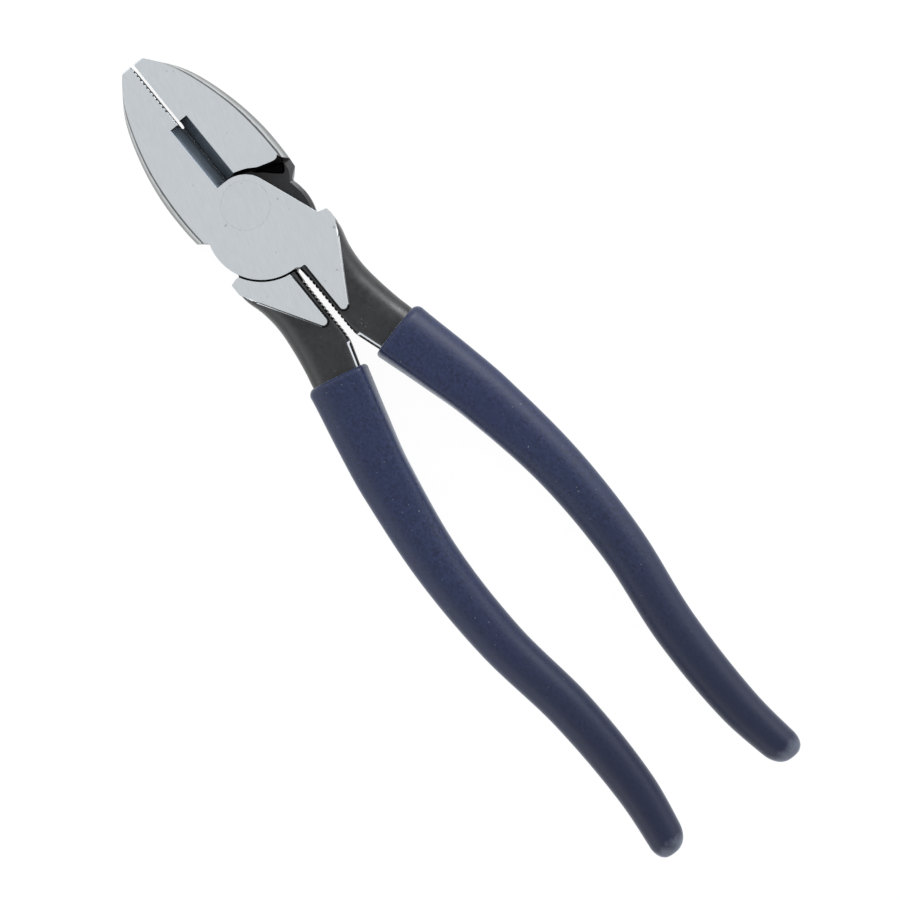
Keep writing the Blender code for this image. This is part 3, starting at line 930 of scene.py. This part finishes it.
def navy_vinyl(name):
    """Dipped vinyl: a soft satin navy with fine mottling, an orange peel and a few pale specks."""
    material, tree, shader = new_material(name)
    shader.inputs["Specular IOR Level"].default_value = 0.3
    shader.inputs["Sheen Weight"].default_value = 0.6
    shader.inputs["Sheen Roughness"].default_value = 0.25
    shader.inputs["Sheen Tint"].default_value = VINYL_SHEEN
    mottle = noise(tree, (1500.0, 1100.0, 1500.0), 3.0, 0.7)
    blotches = noise(tree, (320.0, 240.0, 320.0), 3.0, 0.6)
    clouds = noise(tree, (60.0, 35.0, 60.0), 2.0)
    specks = noise(tree, (1500.0, 1500.0, 1500.0), 0.0)
    peel = noise(tree, (900.0, 700.0, 900.0), 2.0, 0.5)
    fine = mixed(tree, ramp(tree, mottle, 0.4, 0.6, 0.0, 1.0), VINYL_DARK, VINYL_LIGHT)
    blotched = mixed(tree, ramp(tree, blotches, 0.4, 0.6, 0.0, 0.55), fine, VINYL_BLOTCH)
    cloudy = mixed(tree, ramp(tree, clouds, 0.35, 0.7, 0.0, 0.45), blotched, VINYL_CLOUD)
    specked = mixed(tree, ramp(tree, specks, 0.845, 0.88, 0.0, 0.6), cloudy, VINYL_SPECK)
    # Painted shade: the vinyl darker towards the grip's end
    dark_end, dark_start = (y * MM for y in VINYL_PAINTED_SHADE_SPAN)
    painted_shade_towards_end = ramp(tree, position(tree)[1], dark_end, dark_start, 0.8, 0.0)
    vinyl_with_painted_shade = mixed(tree, painted_shade_towards_end, specked, VINYL_PAINTED_SHADE_TONE)
    # Paler at the very end: partly dust, partly a painted sheen on the rounded end
    waver = VINYL_PALE_END_WAVER * MM
    pale_end_from = math_node(tree, "ADD", position(tree)[1], ramp(tree, blotches, 0.3, 0.7, -waver, waver))
    pale_end_bottom, pale_end_top = (y * MM for y in VINYL_PALE_END_SPAN)
    pale_end_amount = ramp(tree, pale_end_from, pale_end_bottom, pale_end_top, 0.75, 0.0)
    tree.links.new(mixed(tree, pale_end_amount, vinyl_with_painted_shade, VINYL_DUST_AND_SHEEN), shader.inputs["Base Color"])
    tree.links.new(ramp(tree, mottle, 0.3, 0.7, 0.42, 0.56), shader.inputs["Roughness"])
    bump(tree, shader, peel, 0.5, 0.0001)
    return material


# ---------------------------------------------------------------- the pieces


def place(name, mesh, body, node_name, slot, turned_over):
    """A piece at its CAD node's place; the rear half is the front one turned about the tool's length."""
    obj = bpy.data.objects.new(name, mesh)
    bpy.context.scene.collection.objects.link(obj)
    lift = Matrix.Translation((0.0, 0.0, HALF_HEAD * MM))
    obj.matrix_world = lift @ Matrix.Rotation(math.pi if turned_over else 0.0, 4, "Y")
    weighted = obj.modifiers.new("even_normals", "WEIGHTED_NORMAL")
    weighted.keep_sharp = True
    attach(obj, body)
    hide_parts(node_name)


def shade(mesh, angle):
    mesh.shade_smooth()
    mesh.set_sharp_from_angle(angle=math.radians(angle))


def build_pieces():
    finishes = [
        ground_steel("ground_steel", STEEL),
        black_oxide("black_oxide"),
        # The knife steel twice: painted lighter and darker, as light and shade on the two recesses
        knife_steel("knife_steel", KNIFE_PAINTED_LIT_TONE),
        # The jaw's side steel is painted darker towards the mid-plane, as shade
        part_ground("jaw_side_steel", JAW_SIDE_STEEL, JAW_SIDE_BARE, JAW_SIDE_PAINTED_SHADE),
        part_ground("neck_finish", NECK_STEEL, NECK_BARE, NECK_FADE),
        # Oxide painted near black, as shade in the steps
        painted_shade_oxide("painted_shade_oxide"),
        knife_steel("knife_steel_painted_shade", KNIFE_PAINTED_SHADE_TONE),
    ]
    forging = forging_mesh()
    finish_forging(forging, finishes)
    shade(forging, 32)
    place("front_forging_steel", forging, "front_half", "front_forging", "steel", False)
    place("rear_forging_steel", forging, "rear_half", "rear_forging", "steel", True)

    rivet = turned("rivet", rivet_profile(0.0, HALF_HEAD))
    rivet_mesh = rivet.data
    bpy.data.objects.remove(rivet, do_unlink=True)
    rivet_mesh.materials.append(ground_steel("rivet_steel", scaled(STEEL, 0.99)))
    shade(rivet_mesh, 32)
    place("flush_rivet", rivet_mesh, "front_half", "pivot_rivet", "rivet", False)

    sleeve = grip_mesh()
    sleeve.materials.append(navy_vinyl("navy_vinyl"))
    shade(sleeve, 60)
    place("front_grip_vinyl", sleeve, "front_half", "front_grip", "vinyl", False)
    place("rear_grip_vinyl", sleeve, "rear_half", "rear_grip", "vinyl", True)


# ---------------------------------------------------------------- stage, light and camera


def build_stage():
    bpy.ops.mesh.primitive_plane_add(size=FLOOR_SIZE, location=(0.0, 0.0, -FLOOR_GAP))
    floor = bpy.context.object
    floor.name = "floor"
    material, _, shader = new_material("floor_white")
    shader.inputs["Base Color"].default_value = FLOOR_TONE
    shader.inputs["Roughness"].default_value = 0.9
    shader.inputs["Specular IOR Level"].default_value = 0.0
    shader.inputs["Emission Color"].default_value = WHITE
    shader.inputs["Emission Strength"].default_value = FLOOR_GLOW
    floor.data.materials.append(material)


def build_softbox():
    light = bpy.data.lights.new("right_softbox", "AREA")
    light.shape = "DISK"
    light.size = SOFTBOX_SIZE
    light.energy = SOFTBOX_POWER
    obj = bpy.data.objects.new("right_softbox", light)
    obj.location = SOFTBOX_PLACE
    towards = Vector(LIGHT_AIM) - Vector(SOFTBOX_PLACE)
    obj.rotation_euler = towards.to_track_quat("-Z", "Y").to_euler()
    bpy.context.scene.collection.objects.link(obj)


def build_light():
    """A white room, brighter towards its walls, and one soft light from the right."""
    world = bpy.data.worlds.new("studio")
    bpy.context.scene.world = world
    world.use_nodes = True
    tree = world.node_tree
    place = tree.nodes.new("ShaderNodeTexCoord")
    parts = tree.nodes.new("ShaderNodeSeparateXYZ")
    tree.links.new(place.outputs["Generated"], parts.inputs[0])
    strength = ramp(tree, parts.outputs[2], *SKY_FADE, SKY_EDGE, SKY_TOP)
    tree.links.new(strength, tree.nodes["Background"].inputs["Strength"])
    tree.nodes["Background"].inputs["Color"].default_value = WHITE
    build_softbox()
    bpy.context.scene.view_settings.view_transform = "Standard"


def build_camera():
    """Looks straight down at the tool, which lies turned with its jaws at the upper left."""
    data = bpy.data.cameras.new("camera")
    data.sensor_width = 36.0
    data.lens = data.sensor_width * CAMERA_DISTANCE / VIEW_WIDTH
    data.clip_end = 10.0
    camera = bpy.data.objects.new("camera", data)
    bpy.context.scene.collection.objects.link(camera)
    back = Vector((math.sin(CAMERA_LEAN), 0.0, math.cos(CAMERA_LEAN)))
    up = Vector((math.sin(TOOL_TURN), math.cos(TOOL_TURN), 0.0))
    right = up.cross(back).normalized()
    turn = Matrix((right, back.cross(right), back)).transposed().to_4x4()
    camera.matrix_world = Matrix.Translation(Vector(AIM) + back * CAMERA_DISTANCE) @ turn
    bpy.context.scene.camera = camera


build_pieces()
build_stage()
build_light()
build_camera()
